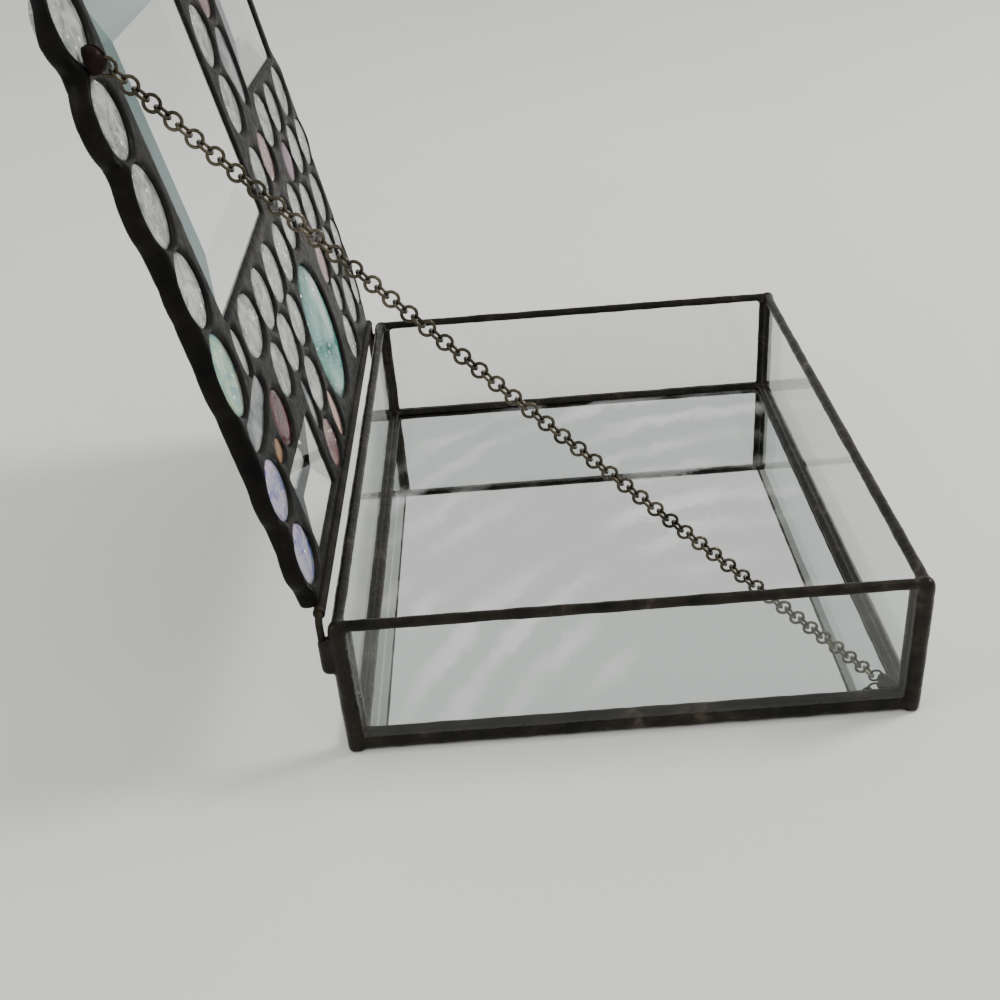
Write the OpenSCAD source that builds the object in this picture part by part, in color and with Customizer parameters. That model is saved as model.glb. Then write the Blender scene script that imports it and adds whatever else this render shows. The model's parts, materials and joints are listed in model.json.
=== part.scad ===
// Keepsake casket of leaded glass. Clear panes stand in dark solder seams round a mirror floor, the lid is a
// patchwork of glass nuggets and bevels on a tube hinge, and a fine chain holds the lid open.
// Origin at the middle of the underside, X along the hinge, Y towards the hinge, Z up, millimetres.
// The lid and its chain are drawn open, the pose in which they rest.

/* [Box] */
// Width along the hinge, between the corner seams
box_w = 203; // [160:1:260]
// Depth from front to back, between the corner seams
box_d = 152; // [120:1:200]
// Height of the centre line of the rim seams
rim_z = 40.65; // [30:0.05:60]
// Thickness of the clear panes
pane_t = 2.5; // [2:0.1:4]
// Thickness of the mirror floor
mirror_t = 3; // [2:0.1:5]

/* [Seams] */
// Radius of the rim beads
rim_r = 1.7; // [1.5:0.1:2.6]
// Radius of the corner beads
corner_r = 2.6; // [2:0.1:3.2]
// Radius of the beads inside the box, along the floor
fillet_r = 2.4; // [1.5:0.1:3]
// Solder between the floor and the panes
foil_gap = 0.4; // [0.2:0.1:0.8]
// How far the base seams stand out from the panes
lip_out = 0.8; // [0.4:0.1:1.5]
// Height of the base seams on the panes
lip_h = 4.6; // [3:0.1:7]

/* [Hinge] */
// Hinge line behind the middle of the rear pane
hinge_back = 4.3; // [3:0.1:8]
// Hinge line above the table
hinge_z = 43.5; // [42:0.1:48]
// Radius of the hinge rod
rod_r = 1; // [0.8:0.05:1.5]
// Wall of the hinge tube
tube_wall = 0.55; // [0.4:0.05:1]
// Clearance round the rod in the tube
hinge_play = 0.05; // [0.02:0.01:0.1]
// Radius of the rod's bends
bend_r = 2.5; // [2:0.1:4]
// Height at which the rod's legs end
leg_z = 30; // [20:1:36]
// How far the lid opens
lid_open = 101.45; // [60:0.05:120]

/* [Lid] */
// Underside of the lid below the hinge line
lid_drop = 0.75; // [0.5:0.05:1.5]
// Thickness of the solder between the glass
web_t = 4.4; // [3:0.1:6]
// Thickness of the lips under the glass
lip_t = 0.8; // [0.5:0.1:1.2]
// Glass hidden by the lips all round
lap = 1; // [0.6:0.1:1.3]
// Clearance round the glass, taken up by its foil
foil_play = 0.05; // [0.02:0.01:0.1]
// Width of the bevels' sloping facets
facet_w = 12.7; // [8:0.1:16]
// Thickness of the bevels at their edges
bevel_edge = 2.6; // [2:0.1:3.2]
// Thickness of the bevels in the middle
bevel_t = 5; // [4:0.1:6]
// Side of the large bevel
large_side = 76.2; // [60:0.1:90]
// Side of the small bevel
small_side = 50.8; // [40:0.1:60]
// Lean of the large bevel
large_lean = 2.5; // [0:0.1:5]

/* [Chain] */
// Plane in which the chain hangs, inwards from the middle of the left pane
chain_in = 8; // [6:0.5:20]
// Start of the chain behind the middle of the front pane
chain_start = 8.5; // [7:0.1:12]
// Start of the chain above the floor
chain_up = 2.6; // [2.4:0.1:5]
// Mean radius of a link
link_r = 1.75; // [1.5:0.01:2]
// Radius of the link wire
wire_r = 0.4; // [0.25:0.01:0.5]
// Slack from one link to the next
link_play = 0.055; // [0.02:0.005:0.2]
// Radius of the lump of solder that holds the chain's last link
lug_r = 3.2; // [2.5:0.1:4]
// Radius of the bar of solder that holds its first link
anchor_r = 1.5; // [1:0.1:2]
// Distance of the chain's lid end from the hinge line
chain_reach = 136.9; // [120:0.1:145]
// Distance of the chain's lid end below the lid
chain_drop = 3; // [2:0.1:4]
// Change of slope from the middle of the chain to its ends, its sag
chain_sag = 1.5; // [1:0.1:4]

/* [Hidden] */
$fn = 48;
eps = 0.01;
hx = box_w / 2;
hy = box_d / 2;
hinge_y = hy + hinge_back;
chain_x = chain_in - hx;
in_x = hx - pane_t / 2;
in_y = hy - pane_t / 2;
out_x = hx + pane_t / 2;
out_y = hy + pane_t / 2;
pane_z = 0.5;
pane_top = rim_z + 0.15;
// Panes stop short of the corner by this much, and solder fills the slit
throat = 0.35;
// Length of the rim beads that belong to the corners
stub = 3.7;
// Solder round each leg of the hinge rod
lump_r = 2;
lump_h = 8;
lump_in = 0.6;
// How far cutting blocks reach past the box
beyond = 9;
// The ball on top of each corner reaches just above the rim
ball_r = corner_r - 0.1;
ball_z = rim_z + rim_r + 0.2 - ball_r;
tube_in = rod_r + hinge_play;
tube_r = tube_in + tube_wall;
tube_x0 = bend_r - hx;
tube_x1 = hx - bend_r - 1;
// Distances on the lid are measured from its rear edge, which is this far behind the hinge line
edge_off = 2.7;
web_z0 = -lid_drop;
glass_z = web_z0 + lip_t;
web_z1 = web_z0 + web_t;
// Height of the widest part of the nuggets, and the cut under it
girdle = 1.6;
foot_in = 0.8;
foot_up = 0.9;
// Solder round the outermost nuggets
border = 2.4;
// The pattern is drawn for a box of this width and depth, and spreads from the hinge line with another one
pattern = [203, 152];
spread = [box_w / pattern[0], box_d / pattern[1]];
fit = min(1, spread[0], spread[1]);

// Glass on the lid. x, distance from the rear edge, half width, half length, thickness
edge_clear = [
    [-92, 148.7, 8, 7.6, 6.6],
    [-92.4, 128.8, 7.4, 7.7, 6.2],
    [-90.4, 109.5, 7.4, 8.9, 6.4],
    [-88.6, 89.1, 7.1, 8.4, 6.4]
];
edge_tall = [-89.1, 67.4, 7.4, 10.1, 6.4];
edge_irid = [[-89.5, 35.3, 7.6, 7.6, 6.4], [-89.8, 16, 7.6, 7.6, 6.4]];
row_oval = [-54.5, 66, 10.2, 7.6, 6.4];
row_one = [
    [-32.9, 65, 8.1, 8.1, 6.6],
    [-12.4, 64.9, 8.3, 8.3, 6.8],
    [8.4, 64, 8.4, 8.4, 6.8],
    [27.8, 66.8, 7.6, 7.6, 6.2],
    [48.3, 65.8, 7.4, 7.4, 6.2],
    [67.2, 59.4, 8.2, 8.2, 6.8],
    [89.7, 56.3, 8.3, 8.3, 6.8]
];
row_two = [
    [-43.4, 48, 7.3, 7.3, 6],
    [-25, 48.3, 8.2, 8.2, 6.8],
    [-6.4, 47.8, 7.4, 7.4, 6.4],
    [-14.4, 30.2, 8, 8, 6.8]
];
middle = [
    [11.9, 126.9, 7.9, 7.9, 6.4],
    [14.5, 107.4, 7.8, 7.8, 6.4],
    [16.9, 86.1, 7.4, 7.4, 6.2],
    [12, 147.5, 7.6, 7.6, 6.2],
    [31, 153, 4.6, 4.6, 4.6]
];
upper = [
    [50, 94.1, 8, 8, 6.6],
    [69.1, 93.7, 7.5, 7.5, 6.2],
    [90.4, 94.2, 7.8, 7.8, 6.4],
    [80.4, 76.4, 7.7, 7.7, 6.4],
    [98.6, 74.4, 7.6, 7.6, 6.2]
];
lower = [
    [78, 39.8, 8.2, 8.2, 6.8],
    [96.6, 38.6, 6.5, 6.5, 5.6],
    [62.4, 29.2, 5.6, 5.6, 5],
    [58.2, 14.5, 7.4, 7.4, 6.4],
    [80, 20, 7.9, 7.9, 6.6],
    [96.6, 18.6, 5.8, 5.8, 5.2]
];
pink_front = [29.8, 136.8, 7.5, 7.5, 6.2];
pink_mid = [34, 86.7, 7.1, 7.1, 6.2];
pink_low = [56.9, 43.2, 7, 7, 6];
pink_rear = [-21.5, 13, 7.2, 7.2, 6.2];
pink_drop = [-4, 14.6, 4.3, 7.4, 4.6];
mauve = [62.6, 77.2, 7.6, 6, 6.2];
red = [-61.5, 42, 7.4, 7.4, 6];
amber = [-75, 39, 3.5, 2.6, 4];
pale = [-72.8, 66.3, 2.5, 6, 4];
grey = [-28.6, 29.8, 2.6, 7.6, 4.2];
jumbo = [20.6, 32.4, 19, 21.8, 9];
jewel = [-57, 19.5, 19, 10.9, 7];
jewel_edge = 2.2;
jewel_ridge = 8.5;
petal = [
    [-93, 53.8], [-92.6, 47], [-80.3, 47.8], [-73, 50.6], [-66, 52.8],
    [-66.6, 57.4], [-72, 57.6], [-80.3, 55.7], [-88.6, 54.2]
];
petal_h = 4.2;
leaf = [
    [21.4, 117.1], [27.9, 110.3], [31, 103.9], [35.6, 103],
    [37.8, 107.3], [37.4, 124.6], [29.8, 125.8], [25.6, 122.4]
];
leaf_h = 4.6;
large = [-38.9, 115.6];
small = [66.8, 130.6];
// Straight edges of the lid
lid_edge = [
    [-97, 3.7], [-97, 159.4], [97.4, 159.4], [97.4, 106.7],
    [103.8, 99.7], [103.8, 16.7], [94, 4.7], [94, 3.7]
];

rounds = concat(
    edge_irid, row_one, row_two, middle, upper, lower,
    [pink_front, pink_mid, pink_low, pink_rear, red]
);
ovals = concat(edge_clear, [edge_tall, row_oval, pink_drop, mauve, amber, pale, grey, jumbo]);

chain_a = [chain_start - hy, mirror_t + chain_up];
chain_s = chain_reach * spread[1];
chain_b = lid_point(chain_s, lid_drop + chain_drop);
chain_v = chain_b - chain_a;
chain_dir = atan2(chain_v[1], chain_v[0]);
links = round(norm(chain_v) / (2 * (link_r - wire_r) - link_play));
// The chain folds at these shares of its length. The links between two folds stay in line
folds = [0, 20, 30, 40, 46, 52, 62, 72, 82, 92] / 92;
runs = [for (i = [1:len(folds) - 1]) round(folds[i] * links) - round(folds[i - 1] * links)];
link_pitch = norm(chain_v) / norm(sum_to(len(runs), 1));
anchor_dir = 22;
// Middle of the lug past the chain's end and below the lid, and half its slot
lug_at = [1.2, 0.8];
slot = wire_r + 0.15;
anchor_back = link_pitch - link_r;
// Middle of the blob behind the first link, and the way from it to the inner corner
anchor_at = chain_a - [2.9, 1.4];
anchor_v = [chain_x + in_x, anchor_at[0] + in_y];
anchor_l = norm(anchor_v) - fillet_r - 0.2;

function unit(v) = v / norm(v);
function next(p, i) = p[(i + 1) % len(p)];
function prev(p, i) = p[(i + len(p) - 1) % len(p)];
function outward(a, b) = unit([b[1] - a[1], a[0] - b[0]]);
// An outline moved outwards by d on every side
function grow(p, d) = [
    for (i = [0:len(p) - 1])
        let (n = outward(prev(p, i), p[i]), m = unit(n + outward(p[i], next(p, i))))
            p[i] + m * d / (m * n)
];
// From the pattern to the lid: x, distance from the hinge line, half width, half length, thickness
function placed(g) = [g[0] * spread[0], (g[1] - edge_off) * spread[1], g[2] * fit, g[3] * fit, g[4]];
function oval(g, d, n = 28) = [
    for (i = [0:n - 1])
        let (q = placed(g), a = 360 * i / n)
            [q[0] + (q[2] + d) * cos(a), q[1] + (q[3] + d) * sin(a)]
];
function shifted(p) = [for (q = p) [q[0] * spread[0], (q[1] - edge_off) * spread[1]]];
function middle_of(p) = [for (k = [0:1]) [for (q = p) q[k]] * [for (q = p) 1] / len(p)];

// A point s along the lid from the hinge line and d below it, in the open pose
function lid_point(s, d) = [
    hinge_y - s * cos(lid_open) - d * sin(lid_open),
    hinge_z + s * sin(lid_open) - d * cos(lid_open)
];
function links_to(i) = i == 0 ? 0 : links_to(i - 1) + runs[i - 1];
function run_dir(i) = chain_dir + chain_sag * (2 * (links_to(i) + runs[i] / 2) / links - 1);
function sum_to(i, step) =
    i == 0 ? [0, 0] : sum_to(i - 1, step) + step * runs[i - 1] * [cos(run_dir(i - 1)), sin(run_dir(i - 1))];
function run_start(i) = chain_a + sum_to(i, link_pitch);

// Distances on the lid run towards -Y when it is closed
module lid_place() {
    translate([0, hinge_y, hinge_z]) rotate([-lid_open, 0, 0]) children();
}

module slab(x0, x1, y0, y1, z0, z1) {
    translate([x0, y0, z0]) cube([x1 - x0, y1 - y0, z1 - z0]);
}

module front_glass() {
    slab(-in_x + throat, in_x - throat, -out_y, -in_y, pane_z, pane_top);
}

module side_glass() {
    slab(in_x, out_x, -in_y + throat, in_y - throat, pane_z, pane_top);
}

module floor_glass() {
    slab(-in_x + foil_gap, in_x - foil_gap, -in_y + foil_gap, in_y - foil_gap, 0, mirror_t);
}

module all_glass() {
    front_glass();
    mirror([0, 1, 0]) front_glass();
    side_glass();
    mirror([1, 0, 0]) side_glass();
    floor_glass();
}

// Section of a base seam. u is measured outwards from the middle of the pane
module base_section() {
    r = (lip_h * lip_h / 4 + lip_out * lip_out) / (2 * lip_out);
    translate([-pane_t / 2 - foil_gap, 0]) square([foil_gap, mirror_t + eps]);
    translate([-pane_t / 2 - foil_gap, 0]) square([pane_t + foil_gap, pane_z]);
    intersection() {
        translate([-pane_t / 2, mirror_t]) circle(fillet_r);
        translate([-pane_t / 2 - fillet_r, mirror_t]) square(fillet_r);
    }
    intersection() {
        translate([pane_t / 2 + lip_out - r, lip_h / 2]) circle(r);
        translate([pane_t / 2, 0]) square([lip_out, lip_h]);
    }
}

module front_base_bar(half) {
    translate([-half, -hy, 0]) rotate([90, 0, 90]) linear_extrude(2 * half) mirror([1, 0]) base_section();
}

module side_base_bar(half) {
    translate([hx, half, 0]) rotate([90, 0, 0]) linear_extrude(2 * half) base_section();
}

// Everything solid in the corner at +X +Y, before the glass is taken away
module corner_body() {
    translate([hx, hy, 0]) cylinder(r = corner_r, h = ball_z);
    intersection() {
        translate([in_x, in_y, 0]) cylinder(r = fillet_r, h = ball_z);
        slab(in_x - fillet_r, in_x, in_y - fillet_r, in_y, 0, ball_z);
    }
}

module corner_stubs() {
    translate([hx, hy, ball_z]) sphere(ball_r);
    translate([hx - stub, hy, rim_z]) rotate([0, 90, 0]) cylinder(r = rim_r, h = stub);
    translate([hx, hy - stub, rim_z]) rotate([-90, 0, 0]) cylinder(r = rim_r, h = stub);
}

module corner_seam() {
    difference() {
        union() {
            corner_body();
            corner_stubs();
        }
        all_glass();
    }
}

module rod_leg() {
    translate([hx, hinge_y, leg_z]) cylinder(r = rod_r, h = hinge_z - bend_r - leg_z);
}

module hinge_corner_seam() {
    difference() {
        union() {
            corner_body();
            corner_stubs();
            translate([hx, hinge_y - lump_in, leg_z - lump_r]) {
                cylinder(r = lump_r, h = lump_h);
                sphere(lump_r);
                translate([0, 0, lump_h]) sphere(lump_r);
            }
        }
        all_glass();
        rod_leg();
    }
}

module front_rim() {
    difference() {
        translate([-hx + stub, -hy, rim_z]) rotate([0, 90, 0]) cylinder(r = rim_r, h = 2 * (hx - stub));
        front_glass();
    }
}

module side_rim() {
    difference() {
        translate([hx, -hy + stub, rim_z]) rotate([-90, 0, 0]) cylinder(r = rim_r, h = 2 * (hy - stub));
        side_glass();
    }
}

module four_corners() {
    for (i = [0:1], j = [0:1]) mirror([i, 0, 0]) mirror([0, j, 0]) corner_body();
}

module front_base() {
    difference() {
        front_base_bar(hx);
        front_glass();
        four_corners();
        slab(in_x, hx + beyond, -hy - beyond, 0, -1, rim_z);
        slab(-hx - beyond, -in_x, -hy - beyond, 0, -1, rim_z);
    }
}

module side_base() {
    difference() {
        side_base_bar(hy);
        side_glass();
        four_corners();
        front_base_bar(in_x);
        mirror([0, 1, 0]) front_base_bar(in_x);
        slab(0, hx + beyond, in_y, hy + beyond, -1, rim_z);
        slab(0, hx + beyond, -hy - beyond, -in_y, -1, rim_z);
    }
}

// Half section of a round nugget of radius r and thickness h, flat side down
module nugget_section(r, h) {
    rise = h - girdle;
    big = (r * r + rise * rise) / (2 * rise);
    edge = asin(r / big);
    dome = [for (k = [1:9]) [big * sin(edge * (1 - k / 10)), h - big + big * cos(edge * (1 - k / 10))]];
    polygon(concat([[0, 0], [r - foot_in, 0], [r, foot_up], [r, girdle]], dome, [[0, h]]));
}

module nugget(g, d = 0) {
    q = placed(g);
    translate([q[0], -q[1], glass_z]) rotate_extrude() nugget_section(q[2] + lap + d, q[4] + d);
}

module peephole(g) {
    q = placed(g);
    translate([q[0], -q[1], web_z0 - 1]) cylinder(r = q[2], h = lip_t + 2);
}

// Glass of any outline, domed, as rings that shrink towards its middle
module dome_glass(p, h) {
    n = len(p);
    c = middle_of(p);
    levels = [[0.93, 0], [1, foot_up], [1, girdle], [0.9, 0.45], [0.74, 0.7], [0.52, 0.88], [0.27, 0.97]];
    heights = [for (k = [0:6]) k < 3 ? levels[k][1] : girdle + (h - girdle) * levels[k][1]];
    top = [
        for (k = [0:6], q = p)
            let (r = c + (q - c) * levels[k][0])
                [r[0], -r[1], heights[k]]
    ];
    side = [for (k = [0:5], i = [0:n - 1], t = [0:1]) t == 0
        ? [k * n + i, k * n + (i + 1) % n, (k + 1) * n + i]
        : [k * n + (i + 1) % n, (k + 1) * n + (i + 1) % n, (k + 1) * n + i]];
    cap = [for (i = [0:n - 1]) [6 * n + i, 6 * n + (i + 1) % n, 7 * n]];
    translate([0, 0, glass_z]) polyhedron(
        concat(top, [[c[0], -c[1], h]]),
        concat([[for (i = [0:n - 1]) n - 1 - i]], side, cap)
    );
}

module outline_hole(p, z0, z1) {
    translate([0, 0, z0]) linear_extrude(z1 - z0) polygon([for (q = p) [q[0], -q[1]]]);
}

module opening(inner, outer) {
    outline_hole(inner, web_z0 - 1, glass_z + eps);
    outline_hole(outer, glass_z, web_z1 + 1);
}

function box_outline(c, w, l, lean) = [
    for (q = [[-1, -1], [1, -1], [1, 1], [-1, 1]])
        let (m = shifted([c])[0], x = q[0] * w / 2 * fit, y = q[1] * l / 2 * fit)
            [m[0] + x * cos(lean) - y * sin(lean), m[1] + x * sin(lean) + y * cos(lean)]
];

large_out = box_outline(large, large_side, large_side, large_lean);
large_in = box_outline(large, large_side - 2 * lap, large_side - 2 * lap, large_lean);
small_out = box_outline(small, small_side, small_side, 0);
small_in = box_outline(small, small_side - 2 * lap, small_side - 2 * lap, 0);
jewel_out = box_outline(jewel, 2 * (jewel[2] + lap), 2 * (jewel[3] + lap), 0);
jewel_in = box_outline(jewel, 2 * jewel[2], 2 * jewel[3], 0);

// A bevelled plate. The facets are cut on its outer side
module bevel(c, side, lean) {
    low = box_outline(c, side, side, lean);
    high = box_outline(c, side - 2 * facet_w, side - 2 * facet_w, lean);
    points = concat(
        [for (q = low) [q[0], -q[1], 0]],
        [for (q = low) [q[0], -q[1], bevel_edge]],
        [for (q = high) [q[0], -q[1], bevel_t]]
    );
    walls = [
        for (k = [0, 4], i = [0:3])
            let (j = (i + 1) % 4)
                [k + i, k + j, k + 4 + j, k + 4 + i]
    ];
    translate([0, 0, glass_z]) polyhedron(points, concat([[3, 2, 1, 0]], walls, [[8, 9, 10, 11]]));
}

module web_outline() {
    polygon([for (q = shifted(lid_edge)) [q[0], -q[1]]]);
    outermost = concat(edge_clear, edge_irid, [edge_tall, upper[2], upper[4], row_one[6], lower[1], lower[5]]);
    for (g = outermost) border_round(placed(g));
}

module border_round(q) {
    translate([q[0], -q[1]])
        if (q[2] == q[3]) circle(q[2] + border);
        else polygon([for (i = [0:27]) [(q[2] + border) * cos(360 * i / 28), (q[3] + border) * sin(360 * i / 28)]]);
}

module web_with_nugget_holes() {
    difference() {
        translate([0, 0, web_z0]) linear_extrude(web_t) web_outline();
        for (g = rounds) {
            nugget(g, foil_play);
            peephole(g);
        }
    }
}

module lid_solder_web() {
    color([0.14, 0.12, 0.11])
        lid_place() difference() {
            web_with_nugget_holes();
            for (g = ovals) opening(oval(g, 0), oval(g, lap));
            opening(shifted(petal), grow(shifted(petal), lap));
            opening(shifted(leaf), grow(shifted(leaf), lap));
            opening(large_in, large_out);
            opening(small_in, small_out);
            opening(jewel_in, jewel_out);
            translate([-hx - beyond, 0, 0]) rotate([0, 90, 0]) cylinder(r = tube_r, h = 2 * (hx + beyond));
        }
}

module round_glass(list) {
    lid_place() for (g = list) nugget(g);
}

module oval_glass(list) {
    lid_place() for (g = list) dome_glass(oval(g, lap), g[4]);
}

module outline_glass(p, h) {
    lid_place() dome_glass(grow(shifted(p), lap), h);
}

clear = [0.82, 0.9, 0.88, 0.5];
pink = [0.86, 0.62, 0.62, 0.6];
solder = [0.16, 0.14, 0.13];

module mirror_base() {
    color([0.75, 0.78, 0.8]) floor_glass();
}

module front_pane() {
    color(clear) front_glass();
}

module rear_pane() {
    color(clear) mirror([0, 1, 0]) front_glass();
}

module left_pane() {
    color(clear) mirror([1, 0, 0]) side_glass();
}

module right_pane() {
    color(clear) side_glass();
}

module front_rim_seam() {
    color(solder) front_rim();
}

module rear_rim_seam() {
    color(solder) mirror([0, 1, 0]) front_rim();
}

module left_rim_seam() {
    color(solder) mirror([1, 0, 0]) side_rim();
}

module right_rim_seam() {
    color(solder) side_rim();
}

module front_base_seam() {
    color(solder) front_base();
}

module rear_base_seam() {
    color(solder) mirror([0, 1, 0]) front_base();
}

module left_base_seam() {
    color(solder) mirror([1, 0, 0]) side_base();
}

module right_base_seam() {
    color(solder) side_base();
}

module front_left_corner_seam() {
    color(solder) mirror([0, 1, 0]) mirror([1, 0, 0]) corner_seam();
}

module front_right_corner_seam() {
    color(solder) mirror([0, 1, 0]) corner_seam();
}

module rear_left_corner_seam() {
    color(solder) mirror([1, 0, 0]) hinge_corner_seam();
}

module rear_right_corner_seam() {
    color(solder) hinge_corner_seam();
}

module rod_end() {
    translate([hx - bend_r, hinge_y, hinge_z - bend_r]) rotate([90, 0, 0])
        rotate_extrude(angle = 90) translate([bend_r, 0]) circle(rod_r);
    rod_leg();
}

module hinge_rod() {
    color([0.3, 0.27, 0.24]) {
        translate([-hx + bend_r, hinge_y, hinge_z]) rotate([0, 90, 0])
            cylinder(r = rod_r, h = 2 * (hx - bend_r));
        rod_end();
        mirror([1, 0, 0]) rod_end();
    }
}

module link() {
    rotate_extrude() translate([link_r, 0]) circle(wire_r);
}

module chain_anchor() {
    color([0.2, 0.17, 0.15]) difference() {
        union() {
            translate([chain_x, chain_a[0], chain_a[1]]) rotate([anchor_dir, 0, 0])
                translate([0, -anchor_back, 0]) rotate([0, 90, 0]) link();
            translate([chain_x, anchor_at[0], anchor_at[1]]) {
                sphere(anchor_r);
                rotate([0, -90, atan2(anchor_v[1], anchor_v[0])]) cylinder(r = anchor_r, h = anchor_l);
            }
        }
        slab(-hx - beyond, 0, -hy - beyond, 0, -1, mirror_t);
        all_glass();
        mirror([0, 1, 0]) mirror([1, 0, 0]) corner_body();
        front_base_bar(in_x);
        mirror([1, 0, 0]) side_base_bar(in_y);
    }
}

module hinge_tube() {
    color([0.24, 0.21, 0.19]) translate([tube_x0, hinge_y, hinge_z]) rotate([0, 90, 0]) difference() {
        cylinder(r = tube_r, h = tube_x1 - tube_x0);
        translate([0, 0, -1]) cylinder(r = tube_in, h = tube_x1 - tube_x0 + 2);
    }
}

// Two cheeks of solder. The last link stands between them
module lid_chain_lug() {
    color([0.3, 0.18, 0.14]) lid_place() difference() {
        translate([chain_x, -chain_s - lug_at[0], web_z0 - lug_at[1]]) sphere(lug_r);
        slab(chain_x - beyond, chain_x + beyond, -chain_s - beyond, -chain_s + beyond, web_z0, beyond);
        slab(chain_x - slot, chain_x + slot, -chain_s - beyond, -chain_s + beyond, -beyond, beyond);
    }
}

module large_bevel() {
    color([0.55, 0.68, 0.68, 0.6]) lid_place() bevel(large, large_side, large_lean);
}

module small_bevel() {
    color([0.55, 0.68, 0.68, 0.6]) lid_place() bevel(small, small_side, 0);
}

module rectangular_jewel() {
    color([0.9, 0.92, 0.9, 0.6]) lid_place() translate([0, 0, glass_z]) polyhedron(
        concat(
            [for (q = jewel_out) [q[0], -q[1], 0]],
            [for (q = jewel_out) [q[0], -q[1], jewel_edge]],
            [for (x = [-jewel_ridge, jewel_ridge]) [placed(jewel)[0] + x * fit, -placed(jewel)[1], jewel[4]]]
        ),
        [
            [3, 2, 1, 0], [0, 1, 5, 4], [1, 2, 6, 5], [2, 3, 7, 6], [3, 0, 4, 7],
            [4, 5, 9, 8], [5, 6, 9], [6, 7, 8, 9], [7, 4, 8]
        ]
    );
}

module jumbo_nugget() {
    color([0.35, 0.68, 0.7, 0.6]) oval_glass([jumbo]);
}

module edge_clear_nuggets() {
    color(clear) oval_glass(edge_clear);
}

module edge_tall_nugget() {
    color([0.8, 0.85, 0.9, 0.6]) oval_glass([edge_tall]);
}

module edge_iridescent_nuggets() {
    color([0.5, 0.6, 0.85, 0.6]) round_glass(edge_irid);
}

module row_oval_nugget() {
    color(clear) oval_glass([row_oval]);
}

module first_row_nuggets() {
    color(clear) round_glass(row_one);
}

module second_row_nuggets() {
    color(clear) round_glass(row_two);
}

module middle_nuggets() {
    color(clear) round_glass(middle);
}

module upper_nuggets() {
    color(clear) round_glass(upper);
}

module lower_nuggets() {
    color(clear) round_glass(lower);
}

module front_pink_nugget() {
    color(pink) round_glass([pink_front]);
}

module middle_pink_nugget() {
    color(pink) round_glass([pink_mid]);
}

module lower_pink_nugget() {
    color(pink) round_glass([pink_low]);
}

module rear_pink_nugget() {
    color(pink) round_glass([pink_rear]);
}

module pink_drop_nugget() {
    color([0.85, 0.5, 0.4, 0.6]) oval_glass([pink_drop]);
}

module mauve_nugget() {
    color([0.6, 0.5, 0.65, 0.6]) oval_glass([mauve]);
}

module red_nugget() {
    color([0.55, 0.1, 0.15, 0.7]) round_glass([red]);
}

module amber_sliver() {
    color([0.8, 0.55, 0.2, 0.7]) oval_glass([amber]);
}

module pale_sliver() {
    color([0.85, 0.85, 0.8, 0.7]) oval_glass([pale]);
}

module grey_sliver() {
    color([0.6, 0.63, 0.65, 0.7]) oval_glass([grey]);
}

module petal_piece() {
    color([0.65, 0.68, 0.7, 0.8]) outline_glass(petal, petal_h);
}

module leaf_piece() {
    color([0.62, 0.66, 0.68, 0.8]) outline_glass(leaf, leaf_h);
}

module chain_run(i) {
    color([0.25, 0.22, 0.2])
        translate([chain_x, run_start(i)[0], run_start(i)[1]]) rotate([run_dir(i), 0, 0])
            for (j = [0:runs[i] - 1])
                translate([0, link_r + j * link_pitch, 0]) rotate([0, 90 * (j % 2), 0]) link();
}

module chain_run_1() {
    chain_run(0);
}

module chain_run_2() {
    chain_run(1);
}

module chain_run_3() {
    chain_run(2);
}

module chain_run_4() {
    chain_run(3);
}

module chain_run_5() {
    chain_run(4);
}

module chain_run_6() {
    chain_run(5);
}

module chain_run_7() {
    chain_run(6);
}

module chain_run_8() {
    chain_run(7);
}

module chain_run_9() {
    chain_run(8);
}

mirror_base();
front_pane();
rear_pane();
left_pane();
right_pane();
front_rim_seam();
rear_rim_seam();
left_rim_seam();
right_rim_seam();
front_base_seam();
rear_base_seam();
left_base_seam();
right_base_seam();
front_left_corner_seam();
front_right_corner_seam();
rear_left_corner_seam();
rear_right_corner_seam();
hinge_rod();
chain_anchor();
lid_solder_web();
hinge_tube();
lid_chain_lug();
large_bevel();
small_bevel();
rectangular_jewel();
jumbo_nugget();
edge_clear_nuggets();
edge_tall_nugget();
edge_iridescent_nuggets();
row_oval_nugget();
first_row_nuggets();
second_row_nuggets();
middle_nuggets();
upper_nuggets();
lower_nuggets();
front_pink_nugget();
middle_pink_nugget();
lower_pink_nugget();
rear_pink_nugget();
pink_drop_nugget();
mauve_nugget();
red_nugget();
amber_sliver();
pale_sliver();
grey_sliver();
petal_piece();
leaf_piece();
chain_run_1();
chain_run_2();
chain_run_3();
chain_run_4();
chain_run_5();
chain_run_6();
chain_run_7();
chain_run_8();
chain_run_9();
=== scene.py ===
"""Looks of the leaded glass keepsake box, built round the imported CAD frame.

World sizes are in metres. The lid's glass is laid out on the plan of the closed lid, in millimetres:
x along the hinge, s away from the hinge line, z up.
"""
import json
import math

import bmesh
import bpy
import numpy as np
from mathutils import Matrix, Vector, noise
from mathutils.geometry import delaunay_2d_cdt


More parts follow.
